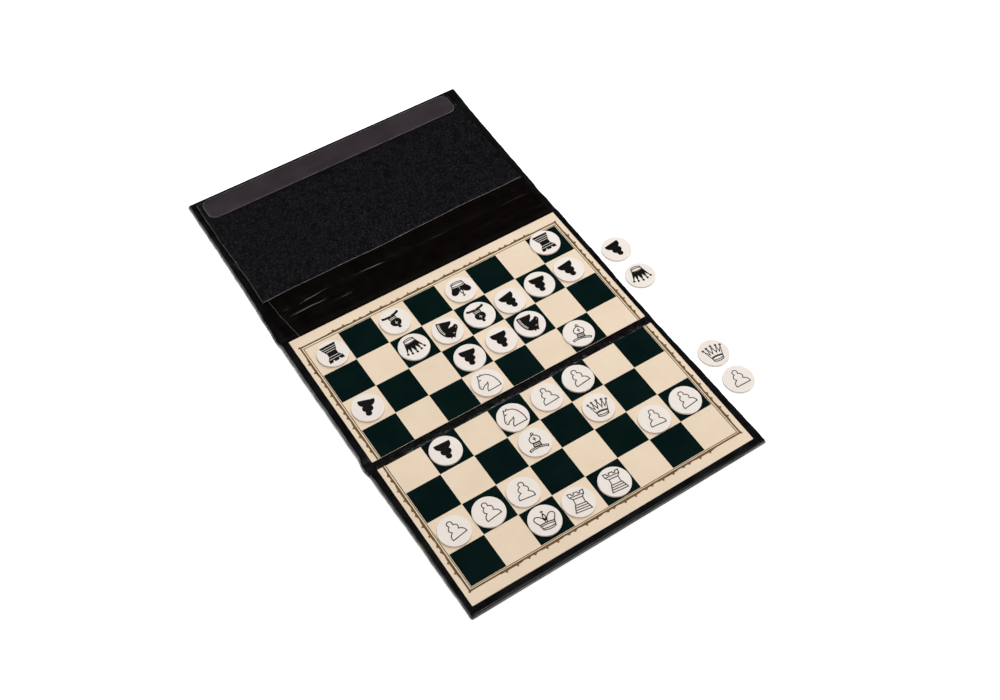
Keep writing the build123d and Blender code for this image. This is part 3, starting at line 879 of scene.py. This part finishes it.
# %% Motif tree
motifs, gin, gout = new_tree("border_motifs", [
    ("Motif", "NodeSocketObject"), ("Step", "NodeSocketFloat"), ("Ink", "NodeSocketMaterial")])
curve = node(motifs, "GeometryNodeMeshToCurve")
stations = node(motifs, "GeometryNodeResampleCurve", mode="LENGTH")
info = node(motifs, "GeometryNodeObjectInfo")
placed = node(motifs, "GeometryNodeInstanceOnPoints")
tangent = node(motifs, "GeometryNodeInputTangent")
facing = node(motifs, "FunctionNodeAlignRotationToVector", axis="X", pivot_axis="Z")
wire(motifs, (gin["Geometry"], curve.inputs["Mesh"]), (curve.outputs[0], stations.inputs["Curve"]))
wire(motifs, (gin["Step"], stations.inputs["Length"]), (stations.outputs[0], placed.inputs["Points"]))
wire(motifs, (gin["Motif"], info.inputs["Object"]), (info.outputs["Geometry"], placed.inputs["Instance"]))
wire(motifs, (tangent.outputs[0], facing.inputs["Vector"]), (facing.outputs[0], placed.inputs["Rotation"]))
end_tree(motifs, placed.outputs[0], gin["Ink"], gout)
print("tree:", motifs.name)


# %% Paths and motifs
def path_of(name, runs):
    """Object of straight paths, each from one point to another, in millimetres."""
    mesh = bpy.data.meshes.new(name)
    points = np.array(runs).reshape(-1, 3) * mm
    mesh.from_pydata(points.tolist(), [(k, k + 1) for k in range(0, len(points), 2)], [])
    return added(name, mesh)


ink_t = 0.02


def flat_motif(name, outline):
    """Small flat prism of ink from an outline in millimetres."""
    shape = bmesh.new()
    low = [shape.verts.new((x * mm, y * mm, 0)) for x, y in outline]
    high = [shape.verts.new((x * mm, y * mm, ink_t * mm)) for x, y in outline]
    shape.faces.new(high)
    shape.faces.new(low[::-1])
    for k in range(len(outline)):
        shape.faces.new((low[k - 1], low[k], high[k], high[k - 1]))
    mesh = bpy.data.meshes.new(name)
    shape.to_mesh(mesh)
    shape.free()
    return added(name, mesh)


def joined_piece(name, meshes, material):
    """One plain object from several meshes."""
    shape = bmesh.new()
    for mesh in meshes:
        shape.from_mesh(mesh)
        bpy.data.meshes.remove(mesh)
    bmesh.ops.recalc_face_normals(shape, faces=shape.faces)
    whole = bpy.data.meshes.new(name)
    shape.to_mesh(whole)
    shape.free()
    whole.materials.clear()
    whole.materials.append(material)
    print(name, len(whole.polygons), "faces")
    return added(name, whole)


# %% Bracket, bud and corner dot
leaf = [(0.0, 0.0), (5.4, 0.0), (5.4, 0.3), (4.2, 0.42), (2.8, 0.72), (1.6, 0.78), (0.95, 0.75)]
leaf += [(0.7, 1.5), (0.1, 1.7), (-0.4, 0.8)]
bracket = flat_motif("bracket", [(x + 2.7, y) for x, y in leaf] + [(-x - 2.7, y) for x, y in reversed(leaf)])
half_bud = [(0.0, 0.55), (0.9, 0.6), (1.3, 1.2), (2.0, 1.2), (2.4, 0.75), (3.2, 0.45), (3.2, 0.0)]
bud = flat_motif("bud", [(-x, y) for x, y in reversed(half_bud[1:])] + half_bud)
turns, dot_r = np.linspace(0, 2 * math.pi, 13)[:-1], 0.62
dot = flat_motif("dot", [(dot_r * math.cos(a), dot_r * math.sin(a)) for a in turns])
print("motifs of", len(leaf) * 2, len(half_bud) * 2 - 1, "and", len(turns), "points")

# %% Border of each half
square = (box_mm("upper_dark_squares")[1][0] - box_mm("upper_dark_squares")[0][0] + 0.1) / 8
squares_top = box_mm("upper_dark_squares")[1][1] + 0.05
squares_foot = box_mm("lower_dark_squares")[0][1] - 0.05
out_side, out_top, out_foot = 1.62, 1.85, 1.45
step = 1.167 * square
ink_z = board_top + 0.012
heavy_line, thin_line, thin_gap = 0.92, 0.42, 0.42
below, dot_out = 0.004, 0.3


def printed_border(name, fold_edge, end, out_end, turn):
    """Lines and motifs of one half. turn is 1 on the upper half and -1 on the lower one."""
    made = []
    for wide, gap_side, gap_end in ((heavy_line, out_side, out_end), (thin_line, thin_gap, thin_gap)):
        x, y, half = 4 * square + gap_side, end + turn * gap_end, wide / 2
        runs = [((side * x, fold_edge, ink_z), (side * x, y + turn * half, ink_z)) for side in (-1, 1)]
        runs.append(((-x + half, y, ink_z), (x - half, y, ink_z)))
        values = {"Line width": wide * mm, "Ink height": ink_t * mm, "Ink": gold_ink}
        made.append(grown(path_of(name, runs), ribbon, values))
    x, y, z = 4 * square + out_side, end + turn * out_end, ink_z - below
    for motif, first in ((bracket, 0.655 * square), (bud, 0.655 * square + step / 2)):
        row = 2 * (x - first)
        row -= row % step
        side = abs(fold_edge - end) - first
        side -= side % step
        inner, outer = end - turn * (first + side), end - turn * first
        runs = [((-row / 2, y, z), (row / 2, y, z)), ((-x, inner, z), (-x, outer, z)), ((x, outer, z), (x, inner, z))]
        if turn < 0:
            runs = [run[::-1] for run in runs]
        made.append(grown(path_of(name, runs), motifs, {"Motif": motif, "Step": step * mm, "Ink": gold_ink}))
    x, y = x + dot_out, y + turn * dot_out
    values = {"Motif": dot, "Step": 2 * x * mm, "Ink": gold_ink}
    made.append(grown(path_of(name, [((-x, y, ink_z), (x, y, ink_z))]), motifs, values))
    return joined_piece(name, made, gold_ink)


upper_border = printed_border("upper_border", upper_sheet_low[1] + 0.1, squares_top, out_top, 1)
lower_border = printed_border("lower_border", lower_sheet_high[1] - 0.1, squares_foot, out_foot, -1)
for motif in (bracket, bud, dot):
    bpy.data.objects.remove(motif)
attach(upper_border, "middle_panel")
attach(lower_border, "lower_panel")

# %% [markdown]
# The dark squares of the lower half are printed right up to the sheet's edge at the fold. One more ribbon, in the dark
# ink, covers the narrow strip that is left there.

# %% Dark ink up to the lower sheet's edge
y = lower_sheet_high[1] - 0.08
values = {"Line width": 0.16 * mm, "Ink height": ink_t * mm, "Ink": dark_green}
inked = grown(path_of("fold_line", [((-4 * square, y, ink_z), (4 * square, y, ink_z))]), ribbon, values)
fold_line = joined_piece("fold_line", [inked], dark_green)
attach(fold_line, "lower_panel")

# %% [markdown]
# ## Table, light and camera
# The table is plain white. A large lamp hangs overhead, a warm one stands beside the camera and a cool one behind the
# wallet, which lights the far squares. The last two would mirror in the black vinyl, so they are hidden from glossy
# rays. A fourth one, on the left behind the wallet, does the opposite: it only draws bright lines on the left welts.
# The sky is pale near the horizon, most on the left, and dim overhead, so that black stays black. The camera sees the
# sky and the far table as plain white. It stands where the picture was taken: its place was worked out from the
# corners of the printed squares in a 1000 by 700 frame.

# %% Table
bpy.ops.mesh.primitive_plane_add(size=6, location=(0, 0, -0.00006))
table = bpy.context.object
table.name = "table"
white_top, tree, shader, place = finish_of("white_table", roughness=0.7, specular=0.2)
patch = effect(tree, blotches, place, Per_metre=4)
paint(tree, shader, mixed(tree, patch["Blotch"], (0.93, 0.93, 0.93), (0.95, 0.95, 0.95)))
rays = node(tree, "ShaderNodeLightPath").outputs
spread = node(tree, "ShaderNodeVectorMath", operation="LENGTH")
wire(tree, (place, spread.inputs[0]))
seen = maths(tree, "ADD", rays["Is Camera Ray"], rays["Is Glossy Ray"])
near_glow = maths(tree, "MULTIPLY", maths(tree, "ADD", seen, rays["Is Transmission Ray"]), 0.4)
far_share = remap(tree, spread.outputs["Value"], 0.35, 1.6, 0, 0.6)
far_glow = maths(tree, "MULTIPLY", far_share, rays["Is Camera Ray"])
wire(tree, (maths(tree, "ADD", near_glow, far_glow), shader.inputs["Emission Strength"]))
shader.inputs["Emission Color"].default_value = (1, 1, 1, 1)
table.data.materials.append(white_top)
print("table:", white_top.name)

# %% Sky
world = bpy.data.worlds.new("studio")
bpy.context.scene.world = world
world.use_nodes = True
tree = world.node_tree
back = tree.nodes["Background"]
direction = node(tree, "ShaderNodeSeparateXYZ")
wire(tree, (node(tree, "ShaderNodeTexCoord").outputs["Generated"], direction.inputs[0]))
by_height = remap(tree, direction.outputs[2], 0.08, 0.5, 0.5, 0.03)
by_side = remap(tree, direction.outputs[0], -0.3, 0.5, 1, 0.35)
pale = maths(tree, "MULTIPLY", by_height, by_side)
shown = maths(tree, "MAXIMUM", pale, node(tree, "ShaderNodeLightPath").outputs["Is Camera Ray"])
wire(tree, (shown, back.inputs["Strength"]))
back.inputs["Color"].default_value = (1, 1, 1, 1)
print("sky:", world.name)


# %% Lamps
def lamp(name, place, target, size, power, colour):
    """Square area lamp that faces a point."""
    light = bpy.data.lights.new(name, "AREA")
    light.size = size
    light.energy = power
    light.color = colour
    made = added(name, light)
    made.location = place
    made.rotation_euler = (Vector(target) - Vector(place)).to_track_quat("-Z", "Y").to_euler()


lamp("overhead", (0.3, -0.35, 1.25), (0, 0, 0), 0.6, 3.8, (1.0, 0.965, 0.94))
lamp("front", (-0.7, -0.9, 0.9), (0, 0, 0), 0.6, 4.6, (1.0, 0.875, 0.79))
lamp("left", (-0.62, 0.48, 0.55), (0, 0, 0), 0.4, 3.4, (1.0, 0.99, 0.98))
lamp("back", (0.4, 0.4, 0.75), (0, 0.05, 0), 1.2, 11.6, (0.95, 0.982, 0.985))
for name in ("back", "front"):
    bpy.data.objects[name].visible_glossy = False
bpy.data.objects["left"].visible_diffuse = False
print("lamps:", len(bpy.data.lights))

# %% Camera
camera = added("camera", bpy.data.cameras.new("camera"))
camera.data.sensor_width = 36.0
camera.data.lens = 50.53
camera.location = (-0.226788, -0.361562, 0.578476)
camera.rotation_mode = "QUATERNION"
camera.rotation_quaternion = Quaternion((0.913266, 0.290005, -0.094535, -0.270011))
camera.data.clip_start = 0.01
bpy.context.scene.camera = camera
bpy.context.scene.view_settings.view_transform = "Standard"
print("camera at", [round(v, 3) for v in camera.location])
